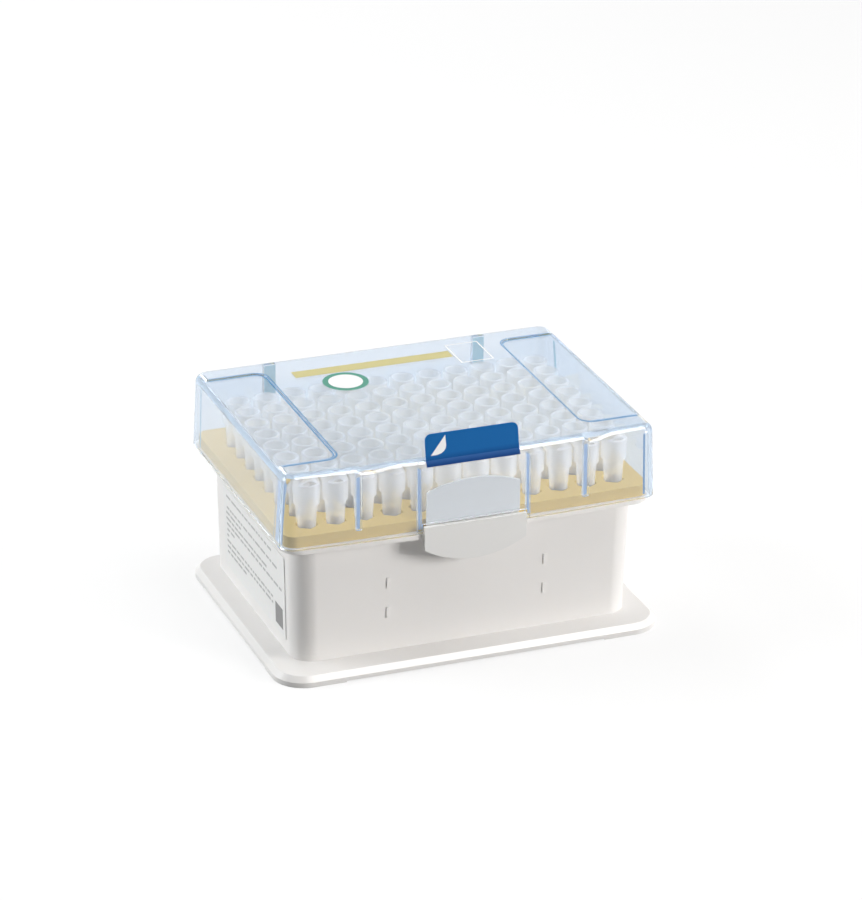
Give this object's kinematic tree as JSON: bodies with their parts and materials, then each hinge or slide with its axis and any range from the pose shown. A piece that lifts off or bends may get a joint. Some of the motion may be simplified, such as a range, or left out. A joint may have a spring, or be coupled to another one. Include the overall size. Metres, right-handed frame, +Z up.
{
  "type": "box of pipette tips",
  "caption": "Footed plastic box that carries a tray of pipette tips under a clear hinged lid with a front latch clip.",
  "frame": {"origin": "on the table under the middle of the tip grid, in the flat underside of the box body", "axes": "+X along the long side, towards the right end seen from the latch; +Y from the latch side to the hinge side; +Z up"},
  "size_m": [0.1244, 0.0979, 0.0744],
  "materials": {
    "box_body": "satin white polypropylene",
    "tip_tray": "satin pale yellow polypropylene",
    "lid": "polished clear plastic with a light blue tint",
    "latch_clip": "satin off-white polypropylene",
    "seal_label": "blue coated label film",
    "side_label": "white coated label paper",
    "tips": "translucent natural polypropylene"
  },
  "bodies": {
    "box": {"box_body": "box_body", "tip_tray": "tip_tray", "side_label": "side_label", "tips_column_01": "tips", "tips_column_02": "tips", "tips_column_03": "tips", "tips_column_04": "tips", "tips_column_05": "tips", "tips_column_06": "tips", "tips_column_07": "tips", "tips_column_08": "tips", "tips_column_09": "tips", "tips_column_10": "tips", "tips_column_11": "tips", "tips_column_12": "tips"},
    "lid": {"lid": "lid", "seal_label": "seal_label"},
    "latch": {"latch_clip": "latch_clip"}
  },
  "joints": [
    {"name": "lid_hinge", "type": "hinge", "parent": "box", "child": "lid", "pos_m": [0, 0.0496, 0.0465], "axis": [-1, 0, 0], "range_deg": [0, 105]},
    {"name": "latch_hinge", "type": "hinge", "parent": "box", "child": "latch", "pos_m": [0, -0.03941, 0.04235], "axis": [-1, 0, 0], "range_deg": [0, 4], "stiffness_Nm_per_rad": 0.02}
  ]
}
